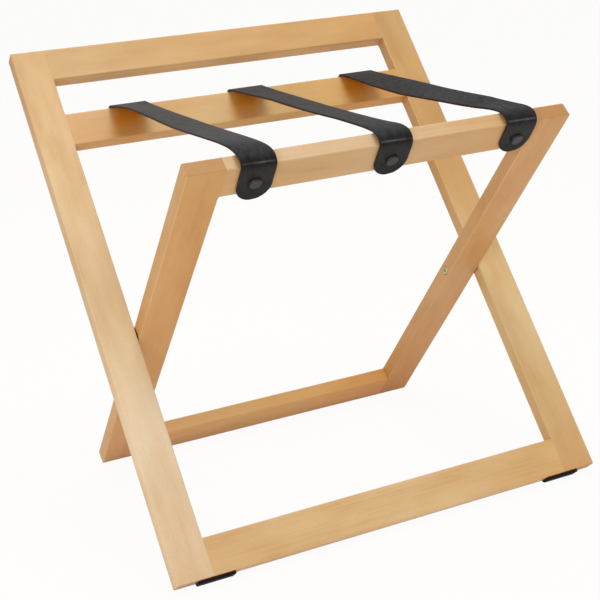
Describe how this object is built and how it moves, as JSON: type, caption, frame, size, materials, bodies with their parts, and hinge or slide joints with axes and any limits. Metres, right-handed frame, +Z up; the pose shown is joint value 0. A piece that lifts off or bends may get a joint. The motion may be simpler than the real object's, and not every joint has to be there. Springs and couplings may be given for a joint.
{
  "type": "folding luggage bench",
  "caption": "Folding wooden luggage bench: two crossing frames of flat boards on one pivot line, a back rest rail and leather straps across the seat.",
  "frame": {"origin": "on the floor, under the centre of the open bench's bounding box", "axes": "+X to the sitter's or user's right as seen from the front, +Y to the back, towards the back rest, +Z up"},
  "size_m": [0.61, 0.508, 0.5953],
  "materials": {
    "beech": "clear satin lacquer on steamed beech",
    "black_leather": "smooth black strap leather, soft sheen",
    "dark_button": "dark grey screw cap, satin",
    "zinc_bolt": "yellow-passivated zinc plate",
    "plain_steel": "bright zinc plate",
    "floor_pad": "matt black"
  },
  "bodies": {
    "outer_frame": {"outer_stile_left": "beech", "outer_stile_right": "beech", "back_rest_rail": "beech", "strap_rail": "beech", "outer_bottom_rail": "beech", "outer_frame_tenons": "beech", "pivot_bolt_left": "zinc_bolt", "pivot_bolt_right": "zinc_bolt", "pivot_inserts": "plain_steel", "pivot_washers": "plain_steel", "strap_left": "black_leather", "strap_middle": "black_leather", "strap_right": "black_leather", "back_buttons": "dark_button", "back_strap_screws": "plain_steel", "front_pad_left": "floor_pad", "front_pad_right": "floor_pad"},
    "inner_frame": {"inner_stile_left": "beech", "inner_stile_right": "beech", "seat_rail": "beech", "inner_bottom_rail": "beech", "inner_frame_tenons": "beech", "front_buttons": "dark_button", "front_strap_screws": "plain_steel", "back_pad_left": "floor_pad", "back_pad_right": "floor_pad"}
  },
  "joints": [
    {"name": "fold", "type": "hinge", "parent": "outer_frame", "child": "inner_frame", "pos_m": [0, -0.02383, 0.25546], "axis": [1, 0, 0], "range_deg": [-74.5, 0], "deforming": ["strap_left", "strap_middle", "strap_right"]}
  ]
}
